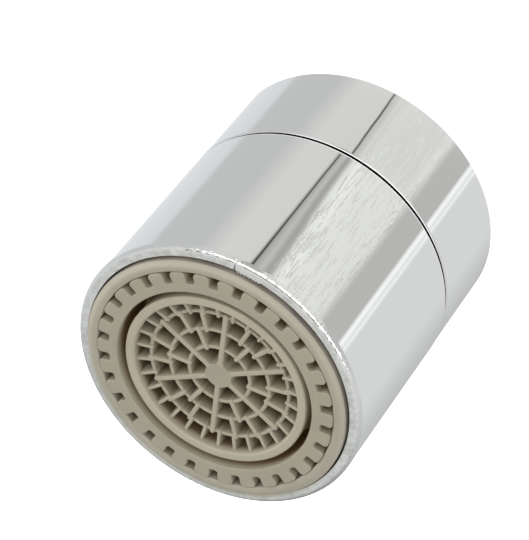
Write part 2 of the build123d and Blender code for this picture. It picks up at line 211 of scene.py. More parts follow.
def chrome_plate(name, streak_height):
    """Bright plate: long soft waves from polishing, and on one side a patch of fine upright
    streaks, which fades out from 0.8 of its reach to its reach either way from its middle."""
    material, tree, place = new_material(name)
    split = add(tree, "ShaderNodeSeparateXYZ", {"Vector": place})
    angle = calculated(tree, "ARCTAN2", split.outputs["Y"], split.outputs["X"])
    distance = calculated(tree, "ABSOLUTE", calculated(tree, "SUBTRACT", angle, streak_middle))
    patch = between(tree, distance, streak_reach * 0.8, streak_reach, 1, 0)
    stretch = {"Vector": place, "Scale": (1, 1, streak_stretch)}
    upright = add(tree, "ShaderNodeMapping", stretch).outputs[0]
    streaks = clouds(tree, upright, streaks_per_metre, 4, Roughness=0.6, Distortion=0.35)
    ridges = calculated(tree, "MULTIPLY", between(tree, streaks, 0.48, 0.78), patch)
    polish = raised(tree, clouds(tree, place, waves_per_metre, 1), 0.25, wave_height)
    smear = clouds(tree, place, smears_per_metre, 4)
    finish_material(
        tree,
        raised(tree, ridges, 1.0, streak_height, polish),
        {
            "Base Color": chrome_colour,
            "Metallic": 1.0,
            "Roughness": between(tree, smear, 0.35, 0.7, mirror_bright, mirror_dull),
        },
    )
    return material


tool_rings_per_metre, tool_ring_height = 9000, 0.00001
tarnish_per_metre = 500


def machined_brass(name, clean, dull):
    """Bare turned brass: fine rings from the tool, clouds of (radius, height) and so the same all
    the way round, and tarnish from its clean to its dull colour."""
    material, tree, place = new_material(name)
    split = add(tree, "ShaderNodeSeparateXYZ", {"Vector": place})
    squares = [
        calculated(tree, "MULTIPLY", split.outputs[axis], split.outputs[axis]) for axis in "XY"
    ]
    radius = calculated(tree, "SQRT", calculated(tree, "ADD", *squares))
    section = {"X": radius, "Z": split.outputs["Z"]}
    section = add(tree, "ShaderNodeCombineXYZ", section).outputs[0]
    rings = clouds(tree, section, tool_rings_per_metre, 2)
    tarnish = clouds(tree, place, tarnish_per_metre, 5)
    finish_material(
        tree,
        raised(tree, rings, 0.4, tool_ring_height),
        {
            "Base Color": mixed(tree, between(tree, tarnish, 0.4, 0.75), (*clean, 1), (*dull, 1)),
            "Metallic": 1.0,
            "Roughness": between(tree, tarnish, 0.3, 0.7, 0.22, 0.4),
        },
    )
    return material


bare_brass = machined_brass("bare_brass", (0.78, 0.6, 0.3), (0.5, 0.36, 0.17))
# A near-black copy of the brass is painted shade: on faces deep in the seam gap, in the nick, and
# as a dark line along the lip's land
painted_shade_brass = machined_brass("painted_shade_brass", (0.09, 0.075, 0.055), (0.03, 0.027, 0.022))
collar_chrome = chrome_plate("collar_chrome", 0.000006)
collar_high = limits("collar")[1]
collar_radius, collar_height = collar_high[0], collar_high[2]
washer_low, washer_high = limits("inlet_washer")
collar_end_wall = 2.0
inner_ceiling = collar_height - collar_end_wall
neck_bore = 7.6
relief_radius, relief_round = 11.15, 0.1
thread_minor, thread_major = 10.46, 11.0
thread_entry, thread_top = 0.7, washer_low[2] - 0.1
thread_mouth = 0.1
thread_pitch = 1.0
thread_rows = 54
thread_fade = 0.35
crest_share, flank_share = 0.15, 0.7
edge_break = 0.05
inlet_round, seam_round = 0.3, 0.15
seam_face = 0.7
plated_rim, plated_end = 0.08, 0.3
collar_columns = 360

thread_heights = np.linspace(thread_top, thread_entry, thread_rows)
collar_outline = rounded_outline(
    [
        (thread_major, 0, edge_break),
        (collar_radius, 0, inlet_round),
        (collar_radius, collar_height / 2, 0),
        (collar_radius, collar_height, seam_round),
        (collar_radius - seam_face, collar_height, 0),
        (neck_bore, collar_height, edge_break),
        (neck_bore, inner_ceiling, edge_break),
        (relief_radius, inner_ceiling, relief_round),
        (relief_radius, thread_top, 0),
        *[(thread_minor, height, 0) for height in thread_heights],
        (thread_major, thread_entry - thread_mouth, 0),
    ]
)
collar_points = revolved(collar_outline, collar_columns)
on_thread = (collar_outline[:, 0] == thread_minor)[:, None]
column_turn = np.linspace(0, 1, collar_columns, endpoint=False)
# The groove is a triangle wave of height / pitch less the turn, cut flat at crest and root
turns = collar_outline[:, 1:] / thread_pitch - column_turn
wave = np.abs(2 * (turns - np.round(turns)))
depth = np.clip((wave - crest_share) / flank_share, 0, 1) * (thread_major - thread_minor)
room = np.minimum(thread_top - collar_outline[:, 1:], collar_outline[:, 1:] - thread_entry)
depth *= np.clip(room / thread_fade, 0, 1) * on_thread
collar_points[..., :2] *= (1 + depth / collar_outline[:, :1])[..., None]
plated = (collar_outline[:, 0] > collar_radius - plated_rim) | (collar_outline[:, 1] < plated_end)
# The collar's seam face and neck bore get the near-black brass as painted shade, so the seam reads
# as a dark gap
seam_painted_shade = collar_outline[:, 1] > inner_ceiling + 0.1
collar_shell = piece(
    "collar_shell",
    [(collar_points, True, np.where(plated, 0, np.where(seam_painted_shade, 2, 1)))],
    [collar_chrome, bare_brass, painted_shade_brass],
)
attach(collar_shell, "collar")
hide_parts("collar")


# Inlet washer: a flat ring punched from black rubber sheet, with softened edges. The tap's end
# presses it against the tailpiece's flange.

dust_per_metre, pits_per_metre, pit_depth = 900, 6000, 0.00002


def rubber(name, shade):
    """Matte black rubber with a dusty, faintly pitted skin."""
    material, tree, place = new_material(name)
    dust = clouds(tree, place, dust_per_metre, 6)
    pits = clouds(tree, place, pits_per_metre, 2)
    clean, dusty = (shade, shade, shade, 1), (shade * 2.2, shade * 2.2, shade * 2.1, 1)
    finish_material(
        tree,
        raised(tree, pits, 0.5, pit_depth),
        {
            "Base Color": mixed(tree, between(tree, dust, 0.45, 0.8), clean, dusty),
            "Roughness": between(tree, dust, 0.3, 0.8, 0.55, 0.75),
        },
    )
    return material


black_rubber = rubber("black_rubber", 0.025)
washer_bore, washer_round = 7.2, 0.25
washer_columns = 180
washer_outline = rounded_outline(
    [
        (washer_bore, washer_low[2], washer_round),
        (washer_high[0], washer_low[2], washer_round),
        (washer_high[0], washer_high[2], washer_round),
        (washer_bore, washer_high[2], washer_round),
    ]
)
washer = piece(
    "inlet_washer_rubber", [(revolved(washer_outline, washer_columns), True, 0)], [black_rubber]
)
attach(washer, "collar")
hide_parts("inlet_washer")


# Tailpiece and inner parts: turned brass with a hexagon socket, a white acetal ring that it turns
# on, rubber rings, and moulded plastic parts. Their solids already have the right form.

mottle_per_metre, sinks_per_metre = 260, 500
sink_depth, grain_height = 0.00003, 0.000012


def moulded_plastic(name, colour, mottle, grains_per_metre, roughness, painted_shading=None):
    """Moulded plastic: a faint cloudiness, a fine matte grain and slow sink waves. The last
    argument paints shade by depth: (height where the colour starts to change, height where that
    ends, share of red, green and blue that is there then), and a share above 1 paints light
    instead."""
    material, tree, place = new_material(name)
    cloud = clouds(tree, place, mottle_per_metre, 5)
    grain = clouds(tree, place, grains_per_metre, 3)
    sinks = raised(tree, clouds(tree, place, sinks_per_metre, 1), 0.3, sink_depth)
    darker = (*[part * (1 - mottle) for part in colour], 1)
    lighter = (*[part * (1 + mottle) for part in colour], 1)
    tint = mixed(tree, between(tree, cloud, 0.3, 0.7), darker, lighter)
    # Painted shade by height: lower down, the colour goes over to its shares
    if painted_shading:
        start, end, share = painted_shading
        height = add(tree, "ShaderNodeSeparateXYZ", {"Vector": place}).outputs["Z"]
        below = (*[part * left for part, left in zip(colour, share)], 1)
        tint = mixed(tree, between(tree, height, end / 1000, start / 1000), below, tint)
    finish_material(
        tree,
        raised(tree, grain, 0.35, grain_height, sinks),
        {
            "Base Color": tint,
            "Roughness": between(tree, grain, 0.3, 0.7, roughness - 0.05, roughness + 0.08),
        },
    )
    return material


face_z = cad_high[2] * 1000
beige = (0.42, 0.385, 0.295)
# The beige darkens further down as painted shade in the cells and grooves
beige_painted_shade = (face_z - 0.6, face_z - 2.9, (0.34, 0.27, 0.165))
beige_plastic = moulded_plastic("beige_plastic", beige, 0.025, 7000, 0.5, beige_painted_shade)
white_acetal = moulded_plastic("white_acetal", (0.82, 0.81, 0.78), 0.02, 5000, 0.35)
grey_plastic = moulded_plastic("grey_plastic", (0.62, 0.62, 0.6), 0.04, 6000, 0.45)
for node, material in (
    ("stem", bare_brass),
    ("slip_ring", white_acetal),
    ("stem_seal", black_rubber),
    ("cartridge_gasket", black_rubber),
    ("cartridge_o_ring", black_rubber),
    ("regulator_ring", black_rubber),
    ("strainer_dome", grey_plastic),
    ("regulator_body", grey_plastic),
    ("jet_plate", grey_plastic),
    ("mixing_ring", beige_plastic),
    ("screen_spacer", beige_plastic),
):
    nodes[node].data.materials.clear()
    nodes[node].data.materials.append(material)


# Housing: a brass shell turned from bar and plated with the collar. Its outlet lip is rounded
# over, its flat land was left satin and finely pitted, and it has a nick and a burr on one side.

housing_low, housing_high = limits("housing")
housing_radius, seam_z, lip_z = housing_high[0], housing_low[2], housing_high[2]
housing_wall = 1.0
outlet_bore = housing_radius - housing_wall
lip_round, lip_chamfer, lip_edge = 0.5, 0.06, 0.025
housing_seam_round = 0.25
satin_radius = housing_radius - 0.3
seal_recess, seal_recess_depth = 7.5, 0.8
stem_bore, gasket_bore = 6.5, 11.0
housing_floor = seam_z + 2.0
shoulder = 15.58
groove_radius, groove_low, groove_high = 12.25, 21.5, 22.5
housing_columns = 1080
lip_rows = 14
satin_dull, satin_bright = (0.7, 0.715, 0.71, 1), (0.88, 0.895, 0.89, 1)
# The beige tint is a painted reflection of the casing on the chrome land
casing_reflection_colour, reflection_width = (0.55, 0.53, 0.44, 1), 0.0006
mottles_per_metre, mottle_height = 1400, 0.00005
lip_pits_per_metre, lip_pit_depth = 1500, 0.00003

satin_lip, lip_tree, lip_place = new_material("satin_lip")
lip_mottle = clouds(lip_tree, lip_place, mottles_per_metre, 6, Roughness=0.65)
lip_pits = add(
    lip_tree,
    "ShaderNodeTexVoronoi",
    {"Vector": lip_place, "Scale": lip_pits_per_metre, "Randomness": 1.0},
).outputs["Distance"]
satin = mixed(lip_tree, between(lip_tree, lip_mottle, 0.35, 0.62), satin_dull, satin_bright)
# On the far side the land's inner edge gets a painted reflection of the beige casing beside it
across = add(
    lip_tree, "ShaderNodeVectorMath", {0: lip_place, 1: (1, 1, 0)}, operation="MULTIPLY"
).outputs[0]
lip_radius = add(lip_tree, "ShaderNodeVectorMath", {0: across}, operation="LENGTH").outputs["Value"]
bore_metres = outlet_bore / 1000
inner_part = between(lip_tree, lip_radius, bore_metres, bore_metres + reflection_width, 1, 0)
to_far_side = add(lip_tree, "ShaderNodeSeparateXYZ", {"Vector": lip_place}).outputs["Y"]
far_part = between(lip_tree, to_far_side, 0.002, 0.011)
painted_reflection = calculated(lip_tree, "MULTIPLY", inner_part, far_part)
mottling = raised(lip_tree, lip_mottle, 0.6, mottle_height)
finish_material(
    lip_tree,
    raised(lip_tree, between(lip_tree, lip_pits, 0.05, 0.3), 0.5, lip_pit_depth, mottling),
    {
        "Base Color": mixed(lip_tree, painted_reflection, satin, casing_reflection_colour),
        "Metallic": 1.0,
        "Roughness": between(lip_tree, lip_mottle, 0.3, 0.7, 0.5, 0.34),
    },
)

housing_chrome = chrome_plate("housing_chrome", 0.00003)
housing_outline = rounded_outline(
    [
        (seal_recess, seam_z, edge_break),
        (housing_radius - seam_face, seam_z, 0),
        (housing_radius, seam_z, housing_seam_round),
        (housing_radius, (seam_z + lip_z) / 2, 0),
        (housing_radius, lip_z, lip_round),
        (outlet_bore + lip_chamfer, lip_z, lip_edge),
        (outlet_bore, lip_z - lip_chamfer, lip_edge),
        (outlet_bore, groove_high, 0),
        (groove_radius, groove_high, 0),
        (groove_radius, groove_low, 0),
        (outlet_bore, groove_low, 0),
        (outlet_bore, shoulder, 0),
        (gasket_bore, shoulder, 0),
        (gasket_bore, housing_floor, 0),
        (stem_bore, housing_floor, 0),
        (stem_bore, seam_z + seal_recess_depth, 0),
        (seal_recess, seam_z + seal_recess_depth, 0),
    ],
    lip_rows,
)
housing_points = revolved(housing_outline, housing_columns)
housing_degrees = np.arange(housing_columns) * 360 / housing_columns
housing_r, housing_z = housing_outline[:, :1], housing_outline[:, 1:]
nick_at, nick_width, nick_depth = 280.6, 0.3, 0.14
nick_shade_width, nick_shade_reach = 0.17, 0.5
burr_from, burr_to, burr_reach = 269.0, 279.5, 0.22
line_from, line_to, line_width = 230, 302, 0.05
ripple_height, ripple_reach = 0.006, 0.35
land_reach, land_fade = 0.3, 0.2
painted_line_share = 0.47
on_land = np.clip((housing_z - lip_z + land_reach) / land_fade, 0, 1)
on_land = on_land * (housing_r > outlet_bore + 0.01)
# The nick is a narrow valley across the land, the burr a ragged tongue that leans over the bore
valley = np.exp(-(((housing_degrees - nick_at) / nick_width) ** 2))
housing_points[..., 2] -= on_land * valley * nick_depth
ragged = np.sin(housing_degrees * 5.1) + 0.6 * np.sin(housing_degrees * 11.7 + 1)
tongue = (housing_degrees > burr_from) & (housing_degrees < burr_to)
inner_edge = on_land * (housing_r < outlet_bore + lip_chamfer + 0.1)
lean = inner_edge * tongue * burr_reach * (0.4 + 0.6 * np.clip(ragged, -0.4, 1))
housing_points[..., :2] *= (1 - lean / housing_r)[..., None]
# The plate over the rounding is a little rough, as if cast: each point moves by its own small
# step, smoothed with its neighbours round the lip
on_round = (housing_z > lip_z - ripple_reach) & (housing_r > satin_radius - 0.1)
steps = np.random.default_rng(3).normal(0, ripple_height, housing_points.shape[:2])
steps = on_round * (np.roll(steps, 1, 1) + 2 * steps + np.roll(steps, -1, 1)) / 2
housing_points[..., 2] += steps - ripple_height * on_round
housing_points[..., :2] *= (1 + np.minimum(steps, 0) / housing_r)[..., None]
plated = (housing_r > housing_radius - 0.3) | (housing_z > lip_z - 0.5)
land = (housing_z > lip_z - 0.2) & (housing_r < satin_radius)
# Faces low in the seam gap get the near-black brass as painted shade
seam_painted_shade = housing_z < seam_z + 0.5
row_finish = np.where(land, 1, np.where(plated, 0, np.where(seam_painted_shade, 3, 2)))
# A thin broken dark line of painted shade lies along the satin land's outer edge on the near side,
# in the near-black brass
line_breaks = np.convolve(np.random.default_rng(4).random(housing_columns), np.ones(7) / 7, "same")
painted_line = (line_breaks > painted_line_share) & (housing_degrees > line_from) & (housing_degrees < line_to)
beside_land = (row_finish == 0) & (housing_r < satin_radius + line_width)
beside_land &= housing_z > lip_z - 0.3
# The nick's valley gets the near-black brass as painted shade
in_nick = np.abs(housing_degrees - nick_at + nick_shade_width) < nick_shade_width
in_nick = in_nick & land & (housing_r < outlet_bore + nick_shade_reach)
housing_finish = np.where((beside_land & painted_line) | in_nick, 3, row_finish)
housing_shell = piece(
    "housing_shell",
    [(housing_points, True, housing_finish)],
    [housing_chrome, satin_lip, bare_brass, painted_shade_brass],
)
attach(housing_shell, "head")
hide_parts("housing")


# Cartridge sleeve: the moulded beige casing that the inner parts stack in. Its outlet edge is the
# plain ring round the slots, crowned so that the highest line is near its middle.

sleeve_low = limits("cartridge_sleeve")[0]
sleeve_radius = outlet_bore - 0.15
channel_radius, sleeve_bore, sleeve_lip = 10.85, 9.85, 9.0
mixing_low = limits("mixing_ring")[0][2]
strainer_flange_low = sleeve_low[2] + 0.6
nose_radius, nose_round, sleeve_round = gasket_bore - 0.1, 0.2, 0.1
sleeve_shoulder = shoulder + 0.05
seal_low, seal_high, seal_groove = sleeve_shoulder + 0.675, sleeve_shoulder + 1.825, 10.94
bead_z, bead_height = (groove_low + groove_high) / 2, 0.3
bead_foot, bead_top = 0.4, 0.1
crown_radius, crown_drop = 11.28, 0.08
crown_inner, channel_round = 11.12, 0.12
channel_drop, channel_straight = 0.03, 0.5
edge_radius, edge_drop = 11.86, 0.46
flare_radius, flare_height = outlet_bore - 0.1, 0.9
flare_full, flare_top = 0.45, 0.06
push_towards, push, least_gap = np.radians(80), 0.18, 0.03
sleeve_columns = 360
# Outwards from its highest circle the crown falls with the square of the distance
crown_r = np.linspace(edge_radius, crown_radius, 10)
crown_z = face_z - crown_drop - (edge_drop - crown_drop) * np.linspace(1, 0, 10) ** 2
sleeve_outline = rounded_outline(
    [
        (sleeve_lip, sleeve_low[2], sleeve_round),
        (nose_radius, sleeve_low[2], nose_round),
        (nose_radius, sleeve_shoulder, 0),
        (sleeve_radius, sleeve_shoulder, sleeve_round),
        (sleeve_radius, seal_low, 0),
        (seal_groove, seal_low, 0),
        (seal_groove, seal_high, 0),
        (sleeve_radius, seal_high, 0),
        (sleeve_radius, bead_z - bead_foot, 0),
        (sleeve_radius + bead_height, bead_z - bead_top, 0),
        (sleeve_radius + bead_height, bead_z + bead_top, 0),
        (sleeve_radius, bead_z + bead_foot, 0),
        (sleeve_radius, crown_z[0] - flare_height, 0),
        (flare_radius, crown_z[0] - flare_full, 0),
        (flare_radius, crown_z[0] - flare_top, 0),
        (edge_radius, crown_z[0], edge_break),
        *[(r, z, 0) for r, z in zip(crown_r[2:], crown_z[2:])],
        (crown_inner, crown_z[-1], 0),
        (channel_radius, crown_z[-1] - channel_drop, channel_round),
        (channel_radius, crown_z[-1] - channel_straight, 0),
        (channel_radius, mixing_low, 0),
        (sleeve_bore, mixing_low, 0),
        (sleeve_bore, strainer_flange_low, 0),
        (sleeve_lip, strainer_flange_low, sleeve_round),
    ]
)
sleeve_r, sleeve_z = sleeve_outline[:, :1], sleeve_outline[:, 1:]
sleeve_points = revolved(sleeve_outline, sleeve_columns)
# The casing is pushed over to the far side, so the gap inside the lip is widest on the near side
sleeve_angle = np.linspace(0, 2 * np.pi, sleeve_columns, endpoint=False)
aside = np.minimum(
    push * np.cos(sleeve_angle - push_towards), outlet_bore - least_gap - flare_radius
)
aside = aside * np.clip((sleeve_r - crown_radius) / (edge_radius - crown_radius), 0, 1)
aside *= sleeve_z > crown_z[0] - flare_height + 0.01
sleeve_points[..., :2] *= (1 + aside / sleeve_r)[..., None]
# Painted shade: the outer wall below the edge, in the gap inside the lip, gets a near-black
# plastic, and the rest darkens further down
below_edge = (sleeve_r > sleeve_radius + 0.001) & (sleeve_z < crown_z[0] - 0.05)
below_edge &= sleeve_z > crown_z[0] - flare_height
sleeve_painted_shade = (face_z - 0.15, face_z - 1.5, (0.52, 0.39, 0.25))
sleeve_plastic = moulded_plastic(
    "sleeve_plastic", (0.37, 0.347, 0.275), 0.03, 7000, 0.5, sleeve_painted_shade
)
painted_gap_shade = moulded_plastic("gap_painted_shade", (0.19, 0.175, 0.15), 0.3, 5000, 0.7)
sleeve = piece(
    "sleeve_moulding",
    [(sleeve_points, True, np.where(below_edge, 1, 0))],
    [sleeve_plastic, painted_gap_shade],
)
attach(sleeve, "head")
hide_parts("cartridge_sleeve")


# Mesh screens: three discs cut from woven stainless wire cloth, one held off the next by a plastic
# spacer. They break the jets up into fine streams.

marks_per_metre, mark_height = 3000, 0.000005
wire_material, wire_tree, wire_place = new_material("steel_wire")
drawn_marks = clouds(wire_tree, wire_place, marks_per_metre, 3)
finish_material(
    wire_tree,
    raised(wire_tree, drawn_marks, 0.2, mark_height),
    {
        "Base Color": (0.6, 0.6, 0.6, 1),
        "Metallic": 1.0,
        "Roughness": between(wire_tree, drawn_marks, 0.3, 0.7, 0.25, 0.4),
    },
)
wire_pitch = 0.55
wire_sides = 5
wire_end_gap = 0.05
steps_per_pitch = 4


def woven_disc(radius, middle, thickness, turn):
    """Wires of a plain weave: each runs along its chord, and its height follows a cosine that is
    one pitch long from over to under, so each crossing has one wire up and the other down."""
    wire_radius = thickness / 4
    shells = []
    around = np.linspace(0, 2 * np.pi, wire_sides, endpoint=False)
    count = int(radius / wire_pitch)
    for crosswise in (0, 1):
        for wire in range(-count, count + 1):
            offset = wire * wire_pitch
            chord = np.sqrt(radius**2 - offset**2) - wire_end_gap
            steps = max(4, int(2 * chord / wire_pitch * steps_per_pitch))
            along = np.linspace(-chord, chord, steps)
            rise = np.cos(np.pi * along / wire_pitch + np.pi * (wire + crosswise)) * wire_radius
            sideways = offset + wire_radius * np.cos(around)
            up = middle + rise[:, None] + wire_radius * np.sin(around)
            grid = np.stack([along[:, None] + 0 * around, sideways + 0 * up, up], -1)
            if crosswise:
                grid = grid[:, ::-1][..., [1, 0, 2]]
            shells.append((grid[::-1], False, 0))
    cos, sin = np.cos(turn), np.sin(turn)
    turned = np.array([[cos, -sin, 0], [sin, cos, 0], [0, 0, 1]])
    return [(grid @ turned.T, closed, finish) for grid, closed, finish in shells]


for screen, turn in (("upper_screen", 0.3), ("middle_screen", 1.0), ("lower_screen", 0.62)):
    screen_low, screen_high = limits(screen)
    middle, thickness = (screen_low[2] + screen_high[2]) / 2, screen_high[2] - screen_low[2]
    weave = woven_disc(screen_high[0], middle, thickness, turn)
    cloth = piece(screen + "_cloth", weave, [wire_material], 90)
    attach(cloth, "head")
    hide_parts(screen)


# Slotted ring: moulded beige ring that stands highest in the outlet. Thirty slots cut its rim into
# blunt teeth and let air into the channel behind, and a skirt carries it down to the mixing ring.

slot_count = 30
slot_width = 0.78
slot_floor = 9.75
slot_round, tooth_round = 0.2, 0.33
tooth_radius = channel_radius - 0.02
slotted_inner, skirt_radius = 8.95, 9.7
slab_bottom = face_z - 1.6
skirt_bottom = limits("slotted_ring")[0][2]
ledge_low = limits("lower_screen")[1][2] + 0.85
ledge_full, ledge_high, ledge_depth = ledge_low + 0.3, ledge_low + 0.5, 0.2
soft_edge, edge_rows = 0.12, 6
row_gap, flat_margin = 0.02, 0.012
line_gap = 0.03


def inset(outline, distance):
    """Moves a counterclockwise closed outline inwards: each point goes along the normal of the
    chord between its two neighbours."""
    chord = np.roll(outline, -1, 0) - np.roll(outline, 1, 0)
    length = np.hypot(chord[:, 0], chord[:, 1])[:, None]
    inwards = np.stack([-chord[:, 1], chord[:, 0]], -1) / length
    return outline + inwards * distance


def soft_top(outline, top, edge, rows=edge_rows):
    """Rows of a rounded top edge: a quarter circle of radius edge, as inset edge (1 - cos a) and
    height top - edge (1 - sin a), with one more row just below it and one just inside it."""
    bends = np.linspace(0, np.pi / 2, rows)
    steps = [(edge * (1 - np.cos(a)), edge * (1 - np.sin(a))) for a in bends]
    steps = [(0, edge + row_gap), *steps, (edge + flat_margin, 0)]
    flat = np.broadcast_to(top, len(outline))
    return [np.column_stack([inset(outline, inwards), flat - down]) for inwards, down in steps]


# One slot, from the middle of one tooth tip to the next. Two more points lie on each tip's curve
half_slot = slot_width / 2
tooth_corner = np.sqrt(tooth_radius**2 - half_slot**2)
tip_angles = np.radians([4.6, 5.3])
right_tip = [np.pi / slot_count, *tip_angles[::-1]]
slot_corners = np.array(
    [
        *[(tooth_radius * np.cos(a), -tooth_radius * np.sin(a), 0) for a in right_tip],
        (tooth_corner, -half_slot, tooth_round),
        (slot_floor, -half_slot, slot_round),
        (slot_floor, half_slot, slot_round),
        (tooth_corner, half_slot, tooth_round),
        *[(tooth_radius * np.cos(a), tooth_radius * np.sin(a), 0) for a in tip_angles],
    ]
)
rim_corners = []
for slot in range(slot_count):
    turn = 2 * np.pi * slot / slot_count
    sideways = slot_corners[:, 0] * np.cos(turn) - slot_corners[:, 1] * np.sin(turn)
    up = slot_corners[:, 0] * np.sin(turn) + slot_corners[:, 1] * np.cos(turn)
    rim_corners.append(np.column_stack([sideways, up, slot_corners[:, 2]]))
rim = rounded_outline(np.concatenate(rim_corners))
rim_columns = len(rim)
# Each point of the rim has its partner on a straight line inside the slot floor: it moves sideways
# from the slot by its distance along the rim, so that no face of the flat top crosses a slot
one_slot = rim[: rim_columns // slot_count + 1]
along = np.concatenate([[0], np.cumsum(np.hypot(*np.diff(one_slot, axis=0).T))])
from_middle = along[:-1] - along[-1] / 2
line_x = slot_floor - soft_edge - line_gap
to_floor_corner, to_tooth_corner = half_slot, half_slot + tooth_radius - slot_floor
partner_at_floor, tooth_spread = half_slot + soft_edge, 0.12
sideways = np.interp(
    np.abs(from_middle),
    [0, to_floor_corner, to_tooth_corner, along[-1] / 2],
    [0, partner_at_floor, partner_at_floor + tooth_spread, line_x * np.tan(np.pi / slot_count)],
) * np.sign(from_middle)
slot_turns = 2 * np.pi * np.arange(slot_count) / slot_count
partner_angle = (slot_turns[:, None] + np.arctan2(sideways, line_x)).ravel()
partner_radius = np.tile(np.hypot(sideways, line_x), slot_count)


def hoop(radius, height):
    """Circle of one radius, or line of the given radii, with a point for each point of the
    toothed rim."""
    across, up = radius * np.cos(partner_angle), radius * np.sin(partner_angle)
    return np.column_stack([across, up, np.full(rim_columns, height)])


inner_bend = [
    (soft_edge * (1 - np.cos(a)), soft_edge * (1 - np.sin(a)))
    for a in np.linspace(np.pi / 2, 0, edge_rows)
]
slotted_rows = [
    np.column_stack([rim, np.full(rim_columns, slab_bottom)]),
    *soft_top(rim, face_z, soft_edge),
    hoop(partner_radius, face_z),
    hoop(slotted_inner + soft_edge + row_gap, face_z),
    *[hoop(slotted_inner + outwards, face_z - down) for outwards, down in inner_bend],
    hoop(slotted_inner, face_z - soft_edge - row_gap),
    hoop(slotted_inner, ledge_high),
    hoop(slotted_inner - ledge_depth, ledge_full),
    hoop(slotted_inner - ledge_depth, ledge_low),
    hoop(slotted_inner, ledge_low),
    hoop(slotted_inner, skirt_bottom),
    hoop(skirt_radius, skirt_bottom),
    hoop(skirt_radius, slab_bottom),
]
# The ring darkens further down as painted shade in its slots and its bore
ring_painted_shade = (face_z - 0.12, face_z - 1.4, (0.66, 0.44, 0.25))
ring_plastic = moulded_plastic("ring_plastic", (0.345, 0.32, 0.243), 0.03, 7000, 0.55, ring_painted_shade)
slotted = piece("slotted_moulding", [(np.array(slotted_rows), True, 0)], [ring_plastic], 50)
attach(slotted, "head")
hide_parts("slotted_ring")


# Outlet grid: one beige moulding, a tube with the honeycomb in it. A hub carries six spokes, three
# round walls cross them, and short walls make more cells further out. All tops are a little
# rounded.

grid_low, grid_high = limits("outlet_grid")
grid_bottom, tube_top = grid_low[2], grid_high[2]
grid_top = face_z - 1.0
tube_outer, tube_inner = 8.32, 7.5
tube_outer_round, tube_inner_round = 0.16, 0.22
tube_columns, ring_columns = 240, 180
foot_radius, foot_height, foot_round = slotted_inner - 0.05, 0.8, 0.1
hub_radius, hub_round = 1.15, 0.5
ring_count, first_gap, ring_pitch = 3, 1.65, 1.775
ring_radii = hub_radius + first_gap + ring_pitch * np.arange(ring_count)
ring_thickness, ring_drop = 0.32, 0.12
overrun = 0.12
spoke_count, spoke_width = 6, 0.47
spoke_angle = np.radians(-17.5)
cell_width = 0.4
outer_count, outer_width = 30, 0.32
outer_angle = np.radians(6.0)
outer_rise, into_tube = 0.3, 0.2
wall_draft = 0.15
wall_edge = 0.13

tube_outline = rounded_outline(
    [
        (tube_inner, grid_bottom, 0),
        (foot_radius, grid_bottom, foot_round),
        (foot_radius, grid_bottom + foot_height, foot_round),
        (tube_outer, grid_bottom + foot_height, edge_break),
        (tube_outer, tube_top, tube_outer_round),
        (tube_inner, tube_top, tube_inner_round),
    ]
)
# The last row of the tube is its inner wall, which gets painted shade sooner than its outer one;
# the outer wall gets painted light further down
well_shade_row = np.arange(len(tube_outline)) == len(tube_outline) - 1
grid_shells = [(revolved(tube_outline, tube_columns), True, np.where(well_shade_row, 3, 1))]
for radius in ring_radii:
    inner, outer = radius - ring_thickness / 2, radius + ring_thickness / 2
    ring_outline = rounded_outline(
        [
            (inner - wall_draft, grid_bottom, 0),
            (outer + wall_draft, grid_bottom, 0),
            (outer, grid_top - ring_drop, wall_edge),
            (inner, grid_top - ring_drop, wall_edge),
        ]
    )
    grid_shells.append((revolved(ring_outline, ring_columns), True, 0))


def wall(outline, top, edge=wall_edge):
    """Points of an upright wall: its outline at the bottom, a little wider for the draft, and the
    same outline below a rounded top edge. Top may be one height or one for each point."""
    bottom = np.column_stack([inset(outline, -wall_draft), np.full(len(outline), grid_bottom)])
    return np.array([bottom, *soft_top(outline, top, edge)])


def radial_walls(inner, outer, width, count, first_angle, rise=0.0):
    """Shells of walls with round ends from one radius to another, evenly round the hub. The top
    goes up by rise from the inner end to the outer one."""
    half = width / 2
    share = np.linspace(-np.pi / 2, np.pi / 2, 9)
    right = np.column_stack([outer + half * np.cos(share), half * np.sin(share)])
    left = np.column_stack([inner - half * np.cos(share), -half * np.sin(share)])
    straight = np.linspace(outer, inner, 6)[1:-1]
    upper = np.column_stack([straight, np.full(4, half)])
    lower = np.column_stack([straight[::-1], np.full(4, -half)])
    stadium = np.concatenate([right, upper, left, lower])
    top = grid_top + rise * np.clip((stadium[:, 0] - inner) / (outer - inner), 0, 1)
    for turn in first_angle + 2 * np.pi * np.arange(count) / count:
        cos, sin = np.cos(turn), np.sin(turn)
        turned = stadium @ np.array([[cos, sin], [-sin, cos]])
        yield wall(turned, top if rise else grid_top), False, 0


# A low round disc on the hub is what the gate left
gate_radius, gate_rise = 1.2, 0.03
gate_turn = np.linspace(0, 2 * np.pi, 72, endpoint=False)
gate_disc = gate_radius * np.column_stack([np.cos(gate_turn), np.sin(gate_turn)])
grid_shells.append((wall(gate_disc, grid_top + gate_rise, gate_rise), False, 2))
